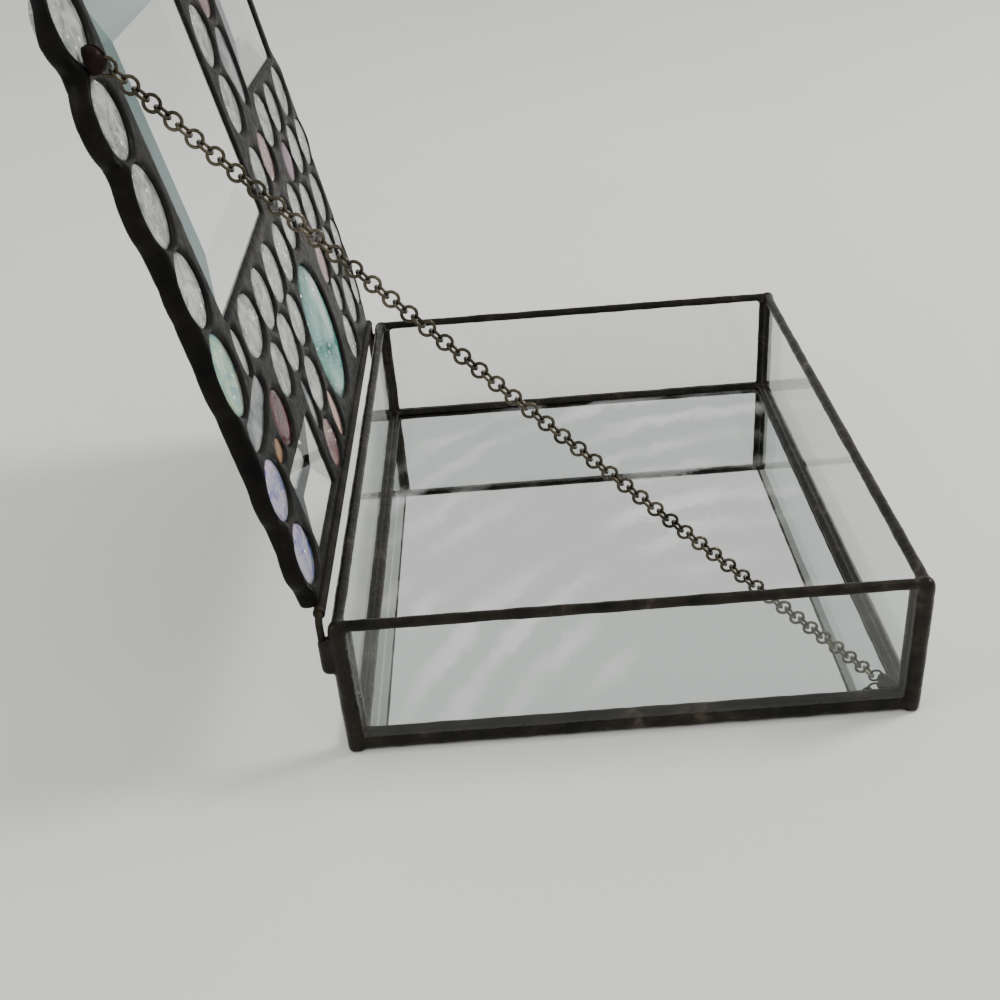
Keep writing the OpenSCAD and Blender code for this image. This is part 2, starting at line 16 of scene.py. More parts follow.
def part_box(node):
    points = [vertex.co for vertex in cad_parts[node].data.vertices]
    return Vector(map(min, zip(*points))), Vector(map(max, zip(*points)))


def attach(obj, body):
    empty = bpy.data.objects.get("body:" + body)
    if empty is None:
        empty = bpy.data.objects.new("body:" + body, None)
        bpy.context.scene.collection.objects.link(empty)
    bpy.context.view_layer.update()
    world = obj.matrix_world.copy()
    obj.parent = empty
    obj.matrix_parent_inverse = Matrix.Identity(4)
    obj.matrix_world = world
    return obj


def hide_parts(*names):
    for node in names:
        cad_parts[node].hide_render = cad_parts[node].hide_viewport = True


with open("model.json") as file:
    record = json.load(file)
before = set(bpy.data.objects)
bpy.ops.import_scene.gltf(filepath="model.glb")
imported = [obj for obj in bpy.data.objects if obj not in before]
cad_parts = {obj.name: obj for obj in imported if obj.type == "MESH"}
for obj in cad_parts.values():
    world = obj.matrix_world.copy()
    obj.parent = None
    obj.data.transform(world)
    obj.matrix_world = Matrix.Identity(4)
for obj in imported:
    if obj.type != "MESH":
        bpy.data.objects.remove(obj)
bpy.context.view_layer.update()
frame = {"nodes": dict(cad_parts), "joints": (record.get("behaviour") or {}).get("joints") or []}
nodes = frame["nodes"]
MM = 0.001

# Lid plan
hinge = next(j for j in frame["joints"] if j["name"] == "lid_hinge")
opening_angle = math.radians(hinge["range_deg"][1])
LID = np.array(Matrix.Translation(hinge["pos_m"]) @ Matrix.Rotation(-opening_angle, 4, "X"))

# Seams, in millimetres: the glass runs LAP under the foil, and the opening that shows is FOIL wider
LAP = 1.0
FOIL = 0.65
BORDER = 2.3
GIRDLE = 1.6
SEAM_HALF = 1.7
SEAM_DIP = 0.9

# The lid's edge: how round it is, and how it climbs the nuggets on the chain side
EDGE_ROUND = 1.6
EDGE_RISE = 1.9
CLIMB_WIDTH = 3.4
CLIMB_REACH = 8
CLIMB_END = 150

LID_EDGE = [
    (-97, 1), (-97, 156.7), (97.4, 156.7), (97.4, 104),
    (103.8, 97), (103.8, 14), (94, 2), (94, 1),
]

# The seams of the box: how far the filling reaches below the rim's top, below the foot's top, into a post
RIM_DEPTH = 2.7
FOOT_DEPTH = 1.2
POST_DEPTH = 0.9


def from_plan(points):
    p = np.asarray(points, float)
    q = np.stack([p[:, 0], -p[:, 1], p[:, 2]], 1) * MM
    return q @ LID[:3, :3].T + LID[:3, 3]


def to_plan(points):
    q = (np.asarray(points, float) - LID[:3, 3]) @ LID[:3, :3] / MM
    return np.stack([q[:, 0], -q[:, 1], q[:, 2]], 1)


def mesh_points(mesh):
    p = np.zeros(len(mesh.vertices) * 3)
    mesh.vertices.foreach_get("co", p)
    return p.reshape(-1, 3)


def solids(name):
    """The points of each separate solid of a node, on the lid plan."""
    mesh = nodes[name].data
    points = to_plan(mesh_points(mesh))
    places, weld = np.unique(np.round(points / 0.01).astype(int), axis=0, return_inverse=True)
    weld = weld.ravel()
    owner = list(range(len(places)))

    def root(i):
        while owner[i] != i:
            owner[i] = owner[owner[i]]
            i = owner[i]
        return i

    for a, b in mesh.edge_keys:
        owner[root(weld[a])] = root(weld[b])
    groups = {}
    for i in range(len(places)):
        groups.setdefault(root(i), []).append(i)
    return [places[g] * 0.01 for g in groups.values()]


def oval_of(points):
    """Middle, half sizes and thickness of a round or oval piece, with its hidden lap left out."""
    low, high = points.min(0), points.max(0)
    mid, half = (low + high) / 2, (high - low) / 2
    return mid[0], mid[1], half[0] - LAP, half[1] - LAP, high[2] - low[2]


def outline_of(points, low, high):
    """The corners of a piece between two heights over its underside, in order round its middle."""
    z = points[:, 2] - points[:, 2].min()
    ring = points[(z >= low) & (z <= high)][:, :2]
    ring = np.unique(np.round(ring, 1), axis=0)
    c = ring.mean(0)
    return ring[np.argsort(np.arctan2(ring[:, 1] - c[1], ring[:, 0] - c[0]))]


ROUND_NODES = [
    "edge_clear_nuggets", "edge_tall_nugget", "edge_iridescent_nuggets", "row_oval_nugget",
    "first_row_nuggets", "second_row_nuggets", "middle_nuggets", "upper_nuggets", "lower_nuggets",
    "front_pink_nugget", "middle_pink_nugget", "lower_pink_nugget", "rear_pink_nugget",
    "pink_drop_nugget", "mauve_nugget", "red_nugget", "amber_sliver", "pale_sliver", "grey_sliver",
    "jumbo_nugget",
]
ROUNDS = {name: [oval_of(p) for p in solids(name)] for name in ROUND_NODES}
FREE = {name: outline_of(solids(name)[0], 0.8, 1.7) for name in ("petal_piece", "leaf_piece")}
PLATE_NODES = ("large_bevel", "small_bevel", "rectangular_jewel")
PLATES = {name: outline_of(solids(name)[0], 0, 0.1) for name in PLATE_NODES}
GLASS_Z = solids("large_bevel")[0][:, 2].min()
WEB = nodes["lid_solder_web"]
web_heights = to_plan(mesh_points(WEB.data))[:, 2]
WEB_LOW, WEB_HIGH = web_heights.min(), web_heights.max()


# Outlines
def wobble(x, y, z, seed=0.0):
    return noise.noise(Vector((x + seed, y - seed, z + 0.37 * seed)))


def oval_points(g, grow, count):
    t = np.linspace(0, 2 * math.pi, count, endpoint=False)
    return np.stack([g[0] + (g[2] + grow) * np.cos(t), g[1] + (g[3] + grow) * np.sin(t)], 1)


def rounded(points, steps=3):
    """Corner cutting: a smooth closed outline inside a coarse one."""
    p = np.asarray(points, float)
    for _ in range(steps):
        q = np.roll(p, -1, 0)
        p = np.stack([0.75 * p + 0.25 * q, 0.25 * p + 0.75 * q], 1).reshape(-1, 2)
    return p


def grown(points, d):
    """A closed outline moved outwards by d. Its points run anticlockwise in x and s."""
    p = np.asarray(points, float)
    e = np.roll(p, -1, 0) - p
    n = np.stack([e[:, 1], -e[:, 0]], 1)
    n /= np.linalg.norm(n, axis=1)[:, None]
    m = n + np.roll(n, 1, 0)
    m /= np.linalg.norm(m, axis=1)[:, None]
    return p + m * d / np.maximum((m * n).sum(1), 0.5)[:, None]


def resampled(points, step):
    p = np.asarray(points, float)
    q = np.vstack([p, p[:1]])
    length = np.r_[0, np.cumsum(np.linalg.norm(np.diff(q, axis=0), axis=1))]
    count = max(8, int(round(length[-1] / step)))
    t = np.linspace(0, length[-1], count, endpoint=False)
    return np.stack([np.interp(t, length, q[:, 0]), np.interp(t, length, q[:, 1])], 1)


def inside(poly, pts):
    x, y = pts[:, 0], pts[:, 1]
    hit = np.zeros(len(pts), bool)
    for (x0, y0), (x1, y1) in zip(poly, np.roll(poly, -1, 0)):
        if y1 != y0:
            hit ^= ((y0 > y) != (y1 > y)) & (x < (x1 - x0) * (y - y0) / (y1 - y0) + x0)
    return hit


def distance(poly, pts):
    best = np.full(len(pts), 1e9)
    for p, q in zip(poly, np.roll(poly, -1, 0)):
        e = q - p
        t = np.clip(((pts - p) @ e) / max(e @ e, 1e-12), 0, 1)
        best = np.minimum(best, np.linalg.norm(pts - p - t[:, None] * e, axis=1))
    return best


def new_object(name, verts, faces, material, smooth=True):
    mesh = bpy.data.meshes.new(name)
    mesh.from_pydata([tuple(v) for v in verts], [], faces)
    mesh.validate()
    mesh.update()
    mesh.polygons.foreach_set("use_smooth", [smooth] * len(mesh.polygons))
    mesh.materials.append(material)
    obj = bpy.data.objects.new(name, mesh)
    bpy.context.scene.collection.objects.link(obj)
    return obj


def stands_for(obj, body, slot, *names):
    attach(obj, body)
    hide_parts(*names)
    return obj


# Shader helpers
def material(name):
    m = bpy.data.materials.new(name)
    m.use_nodes = True
    return m, m.node_tree, m.node_tree.nodes["Principled BSDF"]


def ramp(tree, source, stops):
    n = tree.nodes.new("ShaderNodeValToRGB")
    el = n.color_ramp.elements
    while len(el) < len(stops):
        el.new(0.5)
    for e, (pos, col) in zip(el, stops):
        e.position = pos
        e.color = (*col, 1) if isinstance(col, tuple) else (col, col, col, 1)
    tree.links.new(source, n.inputs[0])
    return n.outputs[0]


def coords(tree, scale=(1, 1, 1), rotation=(0, 0, 0), place=(0, 0, 0)):
    tc = tree.nodes.new("ShaderNodeTexCoord")
    mp = tree.nodes.new("ShaderNodeMapping")
    mp.inputs["Scale"].default_value = scale
    mp.inputs["Rotation"].default_value = rotation
    mp.inputs["Location"].default_value = place
    tree.links.new(tc.outputs["Object"], mp.inputs["Vector"])
    return mp.outputs[0]


def noise_tex(tree, vector, scale, detail=4, rough=0.5, distortion=0.0):
    n = tree.nodes.new("ShaderNodeTexNoise")
    n.inputs["Scale"].default_value = scale
    n.inputs["Detail"].default_value = detail
    n.inputs["Roughness"].default_value = rough
    n.inputs["Distortion"].default_value = distortion
    tree.links.new(vector, n.inputs["Vector"])
    return n.outputs[0]


def specks(tree, vector, scale, radius):
    """1 in small round specks, one for each cell of the given scale, and 0 elsewhere."""
    n = tree.nodes.new("ShaderNodeTexVoronoi")
    n.inputs["Scale"].default_value = scale
    tree.links.new(vector, n.inputs["Vector"])
    return ramp(tree, n.outputs["Distance"], [(radius, 1.0), (radius * 1.25, 0.0)])


def mixed(tree, kind, factor, a, b):
    """Mix node between two sockets or constants. kind is FLOAT or RGBA."""
    n = tree.nodes.new("ShaderNodeMix")
    n.data_type = kind
    first = 2 if kind == "FLOAT" else 6
    for place, value in ((0, factor), (first, a), (first + 1, b)):
        if isinstance(value, bpy.types.NodeSocket):
            tree.links.new(value, n.inputs[place])
        else:
            n.inputs[place].default_value = (*value, 1) if isinstance(value, tuple) else value
    return n.outputs[0 if kind == "FLOAT" else 2]


def bump(tree, bsdf, height, strength, dist):
    b = tree.nodes.new("ShaderNodeBump")
    b.inputs["Strength"].default_value = strength
    b.inputs["Distance"].default_value = dist
    tree.links.new(height, b.inputs["Height"])
    tree.links.new(b.outputs[0], bsdf.inputs["Normal"])


# Materials
def solder_material(name, dark, mid, light, rough=(0.3, 0.5), shine=0.12, gloss=0.05):
    m, t, b = material(name)
    v = coords(t)
    patches = noise_tex(t, v, 90, 5, 0.6, 0.4)
    t.links.new(ramp(t, patches, [(0.35, dark), (0.6, mid), (0.82, light)]), b.inputs["Base Color"])
    b.inputs["Metallic"].default_value = shine
    b.inputs["Specular IOR Level"].default_value = gloss
    fine = noise_tex(t, v, 420, 4, 0.6)
    t.links.new(ramp(t, fine, [(0.3, rough[0]), (0.7, rough[1])]), b.inputs["Roughness"])
    bump(t, b, noise_tex(t, v, 600, 3, 0.6), 0.4, 0.0004)
    return m


def pane_material(name, tint):
    """Thin plate glass: what is behind it shows, and it mirrors more the flatter it is seen."""
    m, t, b = material(name)
    t.nodes.remove(b)
    clear = t.nodes.new("ShaderNodeBsdfTransparent")
    clear.inputs["Color"].default_value = (*tint, 1)
    gloss = t.nodes.new("ShaderNodeBsdfGlossy")
    gloss.inputs["Color"].default_value = (0.95, 0.97, 0.96, 1)
    smear = noise_tex(t, coords(t, (1, 1, 3), (0, 0.4, 0.3)), 38, 5, 0.6, 1.0)
    t.links.new(ramp(t, smear, [(0.45, 0.0), (0.75, 0.16)]), gloss.inputs["Roughness"])
    tilt = t.nodes.new("ShaderNodeLayerWeight")
    flat = t.nodes.new("ShaderNodeMath")
    flat.operation = "POWER"
    flat.inputs[1].default_value = 5
    t.links.new(tilt.outputs["Facing"], flat.inputs[0])
    mix = t.nodes.new("ShaderNodeMixShader")
    t.links.new(ramp(t, flat.outputs[0], [(0.0, 0.04), (1.0, 0.9)]), mix.inputs[0])
    t.links.new(clear.outputs[0], mix.inputs[1])
    t.links.new(gloss.outputs[0], mix.inputs[2])
    t.links.new(mix.outputs[0], t.nodes["Material Output"].inputs["Surface"])
    return m


def glass_material(
        name, stops, rough=0.12, clear=0.85, scale=60, relief=0.25, film=0, glitter_and_painted_glints=False, ior=1.3):
    """Cast or fused glass. Glitter adds small silvery flakes that catch the light; the larger flakes also
    glow white as painted glints.
    """
    m, t, b = material(name)
    v = coords(t)
    colour = ramp(t, noise_tex(t, v, scale, 3, 0.5, 0.8), stops)
    b.inputs["Roughness"].default_value = rough
    b.inputs["IOR"].default_value = ior
    if film:
        b.inputs["Thin Film Thickness"].default_value = film
        b.inputs["Thin Film IOR"].default_value = 1.8
    if glitter_and_painted_glints:
        large = specks(t, v, 210, 0.09)
        small = specks(t, v, 560, 0.13)
        flake = mixed(t, "FLOAT", large, small, 1.0)
        # Painted glints: the larger flakes glow white, with emission strength 0.5.
        b.inputs["Emission Color"].default_value = (1, 1, 1, 1)
        t.links.new(mixed(t, "FLOAT", large, 0.0, 0.5), b.inputs["Emission Strength"])
        t.links.new(mixed(t, "RGBA", flake, colour, (1.0, 1.0, 1.0)), b.inputs["Base Color"])
        t.links.new(flake, b.inputs["Metallic"])
        t.links.new(mixed(t, "FLOAT", flake, clear, 0.0), b.inputs["Transmission Weight"])
    else:
        t.links.new(colour, b.inputs["Base Color"])
        b.inputs["Transmission Weight"].default_value = clear
    bump(t, b, noise_tex(t, v, 260, 4, 0.6), relief, 0.0006)
    return m


def mirror_material():
    m, t, b = material("mirror_glass")
    sweep = t.nodes.new("ShaderNodeTexWave")
    sweep.wave_type = "RINGS"
    sweep.rings_direction = "Z"
    sweep.inputs["Scale"].default_value = 15
    sweep.inputs["Distortion"].default_value = 4.5
    sweep.inputs["Detail"].default_value = 6
    sweep.inputs["Detail Scale"].default_value = 2
    sweep.inputs["Detail Roughness"].default_value = 0.75
    t.links.new(coords(t, (1, 1.5, 1), (0, 0, 0.5), (0.12, 0.16, 0)), sweep.inputs["Vector"])
    # Wiped rings: partly real smeared haze on the mirror, partly painted streaks of reflection.
    wipes_and_painted_streaks = sweep.outputs[1]
    patches = noise_tex(t, coords(t), 16, 2, 0.5)
    haze_and_painted_streaks = t.nodes.new("ShaderNodeMath")
    haze_and_painted_streaks.operation = "MULTIPLY"
    t.links.new(ramp(t, wipes_and_painted_streaks, [(0.35, 0.0), (0.95, 1.0)]), haze_and_painted_streaks.inputs[0])
    t.links.new(ramp(t, patches, [(0.44, 0.0), (0.66, 0.9)]), haze_and_painted_streaks.inputs[1])
    # Under the haze the mirror turns whiter and brighter: real smeared haze, plus painted streaks of
    # reflection.
    tint = ramp(t, haze_and_painted_streaks.outputs[0], [(0.0, (0.78, 0.81, 0.79)), (1.0, (1.0, 1.0, 1.0))])
    t.links.new(tint, b.inputs["Base Color"])
    t.links.new(ramp(t, haze_and_painted_streaks.outputs[0], [(0.0, 0.02), (1.0, 0.07)]), b.inputs["Roughness"])
    t.links.new(ramp(t, haze_and_painted_streaks.outputs[0], [(0.0, 1.0), (1.0, 0.7)]), b.inputs["Metallic"])
    return m


SOLDER = solder_material("patina_solder", (0.004, 0.004, 0.004), (0.01, 0.009, 0.008), (0.035, 0.03, 0.024))
FRAME_SOLDER = solder_material(
    "frame_solder", (0.006, 0.006, 0.005), (0.022, 0.018, 0.013), (0.12, 0.1, 0.075), (0.24, 0.42), 0.5, 0.2)
HINGE_METAL = solder_material(
    "hinge_metal", (0.006, 0.006, 0.005), (0.025, 0.021, 0.016), (0.08, 0.065, 0.045))
RED_SOLDER = solder_material(
    "red_brown_solder", (0.005, 0.004, 0.004), (0.018, 0.01, 0.008), (0.06, 0.032, 0.022))
CHAIN = solder_material(
    "chain_metal", (0.03, 0.027, 0.019), (0.1, 0.088, 0.064), (0.24, 0.21, 0.16), (0.2, 0.36), 0.85)
PANE = pane_material("clear_pane_glass", (0.935, 0.95, 0.945))
MIRROR = mirror_material()
WHITE = [(0.34, (0.2, 0.23, 0.22)), (0.48, (0.46, 0.49, 0.47)), (0.64, (0.7, 0.72, 0.68))]
CLEAR = glass_material("clear_nugget_glass", WHITE, 0.22, 0.55, 240, 0.7, glitter_and_painted_glints=True)
IRID = glass_material(
    "iridescent_glass", [(0.32, (0.2, 0.3, 0.52)), (0.46, (0.42, 0.46, 0.4)), (0.64, (0.68, 0.7, 0.64))],
    0.18, 0.55, 200, 0.7, film=420, glitter_and_painted_glints=True)
BLUE = glass_material(
    "blue_iridescent_glass",
    [(0.34, (0.06, 0.14, 0.5)), (0.46, (0.3, 0.42, 0.66)), (0.56, (0.58, 0.62, 0.64))],
    0.15, 0.5, 260, 0.7, film=520, glitter_and_painted_glints=True)
PINK = glass_material(
    "pink_glass", [(0.3, (0.2, 0.09, 0.1)), (0.7, (0.46, 0.3, 0.29))], 0.15, 0.7, 120, 0.5, glitter_and_painted_glints=True)
CORAL = glass_material("coral_glass", [(0.35, (0.62, 0.24, 0.16)), (0.65, (0.8, 0.6, 0.55))], 0.12, 0.8)
MAUVE = glass_material("mauve_glass", [(0.35, (0.13, 0.04, 0.1)), (0.65, (0.26, 0.12, 0.2))], 0.12, 0.7)
RED = glass_material("red_glass", [(0.35, (0.04, 0.001, 0.006)), (0.65, (0.13, 0.004, 0.022))], 0.1, 0.5)
AMBER = glass_material("amber_glass", [(0.35, (0.22, 0.07, 0.015)), (0.65, (0.45, 0.2, 0.06))], 0.1, 0.7)
WISPY = glass_material(
    "pale_wispy_glass", [(0.35, (0.36, 0.37, 0.33)), (0.65, (0.66, 0.66, 0.62))], 0.2, 0.5, 140)
GREY_WISPY = glass_material(
    "grey_wispy_glass", [(0.35, (0.1, 0.12, 0.13)), (0.65, (0.42, 0.45, 0.44))], 0.15, 0.5, 120)
TEAL = glass_material(
    "teal_glass", [(0.38, (0.005, 0.12, 0.12)), (0.46, (0.05, 0.34, 0.3)), (0.58, (0.22, 0.52, 0.45)),
                   (0.7, (0.6, 0.7, 0.66))], 0.06, 0.8, 60, 0.4, glitter_and_painted_glints=True)
BEVEL = glass_material(
    "clear_bevel_glass", [(0.3, (0.87, 0.92, 0.9)), (0.7, (0.92, 0.95, 0.93))], 0, 1, 10, 0.02, ior=1.5)
# Facet colours of the clear bevels: painted reflections, chosen by the side a facet faces.
PAINTED_TEAL_FACET = glass_material(
    "teal_facet_glass", [(0.3, (0.09, 0.27, 0.28)), (0.7, (0.15, 0.33, 0.34))], 0.05, 0.35, 10, 0.02)
PAINTED_PALE_FACET = glass_material(
    "pale_facet_glass", [(0.3, (0.3, 0.46, 0.44)), (0.7, (0.42, 0.55, 0.53))], 0.05, 0.3, 10, 0.02)
PAINTED_BLUE_FACET = glass_material(
    "blue_facet_glass", [(0.3, (0.3, 0.37, 0.4)), (0.7, (0.38, 0.44, 0.46))], 0.05, 0.35, 10, 0.02)
JEWEL = glass_material(
    "bright_jewel_glass", [(0.3, (0.93, 0.95, 0.94)), (0.7, (0.98, 0.98, 0.97))], 0, 1, 10, 0.02, ior=1.5)


# CAD nodes that keep their mesh
def dress(name, mat):
    mesh = nodes[name].data
    mesh.materials.clear()
    mesh.materials.append(mat)


def dress_cad_nodes():
    dress("mirror_base", MIRROR)
    for side in ("front", "rear", "left", "right"):
        dress(side + "_pane", PANE)
    for name in ("hinge_rod", "hinge_tube"):
        dress(name, HINGE_METAL)
    for name in nodes:
        if name.startswith("chain_run"):
            dress(name, CHAIN)
    dress("rectangular_jewel", JEWEL)


# Solder of the box: all its seams flow into one another
def block(bm, low, high):
    """A box given by two corners, added to a bmesh."""
    low, high = Vector(low), Vector(high)
    place = Matrix.Translation((low + high) / 2) @ Matrix.Diagonal((*(high - low), 1))
    bmesh.ops.create_cube(bm, size=1, matrix=place)


def glass_in_solder(bm):
    """The parts of the panes that the seams hide, so that the seams can be made solid."""
    rim_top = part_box("front_rim_seam")[1][2]
    for side in ("front", "rear", "left", "right"):
        low, high = (list(v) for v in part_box(side + "_pane"))
        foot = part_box(side + "_base_seam")[1][2]
        block(bm, (low[0], low[1], low[2]), (high[0], high[1], foot - FOOT_DEPTH * MM))
        block(bm, (low[0], low[1], rim_top - RIM_DEPTH * MM), (high[0], high[1], high[2]))
        along = 0 if side in ("front", "rear") else 1
        for end in (low[along], high[along]):
            inner = end + math.copysign(POST_DEPTH * MM, -end)
            a, b = list(low), list(high)
            a[along], b[along] = min(end, inner), max(end, inner)
            block(bm, a, b)


def shaken(mesh, amount):
    """Hand-made unevenness: points move along their normals by two scales of noise."""
    co = mesh_points(mesh)
    no = np.zeros(len(co) * 3)
    mesh.vertices.foreach_get("normal", no)
    move = [wobble(*(p * 160)) + 0.4 * wobble(*(p * 520), 7) for p in co]
    co += no.reshape(-1, 3) * (np.array(move) - 0.8)[:, None] * amount * MM
    co[:, 2] = np.maximum(co[:, 2], 0.0)
    mesh.vertices.foreach_set("co", co.ravel())
    mesh.update()


def smoothed(mesh, rounds, hold):
    """Rounds of smoothing, each followed by a smaller step back so that thin beads keep their size."""
    bm = bmesh.new()
    bm.from_mesh(mesh)
    for _ in range(rounds):
        axes = {"use_axis_x": True, "use_axis_y": True, "use_axis_z": True}
        bmesh.ops.smooth_vert(bm, verts=bm.verts, factor=0.5, **axes)
        bm.normal_update()
        for v in bm.verts:
            v.co += v.normal * hold * MM
    bm.to_mesh(mesh)
    bm.free()


def soldered(label, names, body, mat, slot, voxel, amount, rounds=0, filled=False):
    """One flowing lump of solder in place of the named nodes."""
    bm = bmesh.new()
    for name in names:
        bm.from_mesh(nodes[name].data)
    if filled:
        glass_in_solder(bm)
    mesh = bpy.data.meshes.new(label)
    bm.to_mesh(mesh)
    bm.free()
    obj = bpy.data.objects.new(label, mesh)
    bpy.context.scene.collection.objects.link(obj)
    mod = obj.modifiers.new("remesh", "REMESH")
    mod.mode = "VOXEL"
    mod.voxel_size = voxel * MM
    new = bpy.data.meshes.new_from_object(obj.evaluated_get(bpy.context.evaluated_depsgraph_get()))
    obj.modifiers.clear()
    obj.data = new
    if rounds:
        smoothed(new, rounds, 0.01)
    shaken(new, amount)
    new.polygons.foreach_set("use_smooth", [True] * len(new.polygons))
    new.materials.clear()
    new.materials.append(mat)
    return stands_for(obj, body, slot, *names)


def build_solder():
    box_seams = [n for n in nodes if n.endswith("_seam")]
    soldered("soldered_frame", box_seams, "box", FRAME_SOLDER, "patina_solder", 0.42, 0.14, 4, True)
    soldered("soldered_anchor", ["chain_anchor"], "box", SOLDER, "patina_solder", 0.2, 0.08)
    soldered("soldered_lug", ["lid_chain_lug"], "lid", RED_SOLDER, "red_brown_solder", 0.25, 0.15)


# Glass of the lid
def domed(outline, height, seed, rings=9):
    """A fire-polished piece on the plan: flat underside, rounded edge and domed outer side."""
    p = np.asarray(outline, float)
    c = p.mean(0)
    levels = [(0.55, 0.0), (0.86, 0.02), (0.95, 0.3), (0.99, 0.85), (1.0, GIRDLE)]
    for k in range(1, rings):
        a = math.pi / 2 * k / rings
        levels.append((math.cos(a) ** 0.9, GIRDLE + (height - GIRDLE) * math.sin(a) ** 1.15))
    n, rows = len(p), len(levels)
    verts = []
    for share, z in levels:
        for q in p:
            w = share * (1 + 0.012 * wobble(q[0] * 0.12, q[1] * 0.12, z * 0.3, seed))
            verts.append((*(c + (q - c) * w), GLASS_Z + z))
    verts += [(*c, GLASS_Z), (*c, GLASS_Z + height)]
    faces = []
    for i in range(n):
        j = (i + 1) % n
        faces += [(k * n + i, (k + 1) * n + i, (k + 1) * n + j, k * n + j) for k in range(rows - 1)]
        faces += [(n * rows, i, j), (n * rows + 1, (rows - 1) * n + j, (rows - 1) * n + i)]
    return verts, faces


def glass_piece(name, outlines, mat):
    verts, faces = [], []
    for i, (outline, height) in enumerate(outlines):
        v, f = domed(outline, height, 3.1 * i + len(name))
        faces += [tuple(len(verts) + k for k in q) for q in f]
        verts += v
    obj = new_object("glass_" + name, from_plan(verts), faces, mat)
    return stands_for(obj, "lid", mat.name.split(".")[0], name)


def round_glass(name, mat, count=44):
    glass_piece(name, [(oval_points(g, LAP - 0.05, count), g[4]) for g in ROUNDS[name]], mat)


def free_glass(name, mat):
    height = np.ptp(solids(name)[0][:, 2])
    glass_piece(name, [(resampled(rounded(FREE[name]), 1.0), height)], mat)


def bevel_plate(name, clear, near_facet, far_facet):
    """A bevelled plate of clear glass. Its facets on the chain side and at the far end carry painted
    reflections, colours set by which way each facet faces.
    """
    points = solids(name)[0]
    thick = np.ptp(points[:, 2])
    low = PLATES[name]
    edge = np.sort(np.unique(np.round(points[:, 2] - GLASS_Z, 1)))[1]
    high = outline_of(points, thick - 0.1, thick)
    verts = [(*q, GLASS_Z) for q in low]
    verts += [(*q, GLASS_Z + edge) for q in low]
    verts += [(*q, GLASS_Z + thick) for q in high]
    faces = [(0, 1, 2, 3), (11, 10, 9, 8)]
    faces += [(k + i, k + 4 + i, k + 4 + (i + 1) % 4, k + (i + 1) % 4) for k in (0, 4) for i in range(4)]
    obj = new_object("plate_" + name, from_plan(verts), faces, clear, False)
    obj.data.materials.append(near_facet)
    obj.data.materials.append(far_facet)
    middle = low.mean(0)
    for poly in obj.data.polygons:
        side = low[sorted({i % 4 for i in poly.vertices})]
        if len(side) == 2 and (side[:, 0] < middle[0]).all():
            poly.material_index = 1
        if len(side) == 2 and (side[:, 1] > middle[1]).all():
            poly.material_index = 2
    return stands_for(obj, "lid", "teal_bevel_glass" if name == "large_bevel" else "grey_bevel_glass", name)


def build_glass():
    round_glass("edge_clear_nuggets", CLEAR)
    round_glass("edge_tall_nugget", IRID)
    round_glass("edge_iridescent_nuggets", BLUE)
    for name in ("row_oval_nugget", "first_row_nuggets", "second_row_nuggets", "middle_nuggets",
                 "upper_nuggets", "lower_nuggets"):
        round_glass(name, CLEAR)
    for place in ("front", "middle", "lower", "rear"):
        round_glass(place + "_pink_nugget", PINK)
    round_glass("pink_drop_nugget", CORAL)
    round_glass("mauve_nugget", MAUVE)
    round_glass("red_nugget", RED)
    round_glass("amber_sliver", AMBER, 28)
    round_glass("pale_sliver", WISPY, 28)
    round_glass("grey_sliver", GREY_WISPY, 28)
    round_glass("jumbo_nugget", TEAL, 72)
    free_glass("petal_piece", GREY_WISPY)
    free_glass("leaf_piece", GREY_WISPY)
    bevel_plate("large_bevel", BEVEL, PAINTED_TEAL_FACET, PAINTED_PALE_FACET)
    bevel_plate("small_bevel", BEVEL, PAINTED_BLUE_FACET, PAINTED_BLUE_FACET)


# Solder of the lid
def lid_outline(step=0.8):
    """The lid's edge, which swells round the outermost nuggets. It runs anticlockwise in x and s."""
    x0, s0 = LID_EDGE[0]
    s1 = LID_EDGE[1][1]
    s = np.arange(s0 + 0.2, s1, step)
    left = np.full(len(s), float(x0))
    right_edge = sorted((b, a) for a, b in LID_EDGE[2:])
    right = np.interp(s, [b for b, a in right_edge], [a for b, a in right_edge])
    for x, y, rx, ry, _ in (g for group in ROUNDS.values() for g in group):
        t = 1 - ((s - y) / (ry + BORDER)) ** 2
        bulge = (rx + BORDER) * np.sqrt(np.maximum(t, 0))
        left = np.where(t > 0, np.minimum(left, x - bulge), left)
        right = np.where(t > 0, np.maximum(right, x + bulge), right)
    for _ in range(3):
        left[1:-1] = 0.25 * left[:-2] + 0.5 * left[1:-1] + 0.25 * left[2:]
        right[1:-1] = 0.25 * right[:-2] + 0.5 * right[1:-1] + 0.25 * right[2:]
    left += [0.18 * wobble(a * 0.15, 3, 0) for a in s]
    right += [0.18 * wobble(a * 0.15, 9, 0) - 0.1 for a in s]
    front = np.linspace(left[-1], right[-1], int((right[-1] - left[-1]) / step))[1:-1]
    rear = np.linspace(right[0], left[0], int((right[0] - left[0]) / step))[1:-1]
    loop = [np.stack([left, s], 1), np.stack([front, np.full(len(front), s[-1])], 1)]
    loop += [np.stack([right, s], 1)[::-1], np.stack([rear, np.full(len(rear), s[0])], 1)]
    return np.vstack(loop)[::-1]


def uneven(hole, seed):
    """A glass opening with the slightly ragged edge of hand-laid foil."""
    c = hole.mean(0)
    r = np.linalg.norm(hole - c, axis=1)
    shake = [0.15 * wobble(q[0] * 0.35, q[1] * 0.35, seed) for q in hole]
    return c + (hole - c) * (1 + np.array(shake) / r)[:, None]


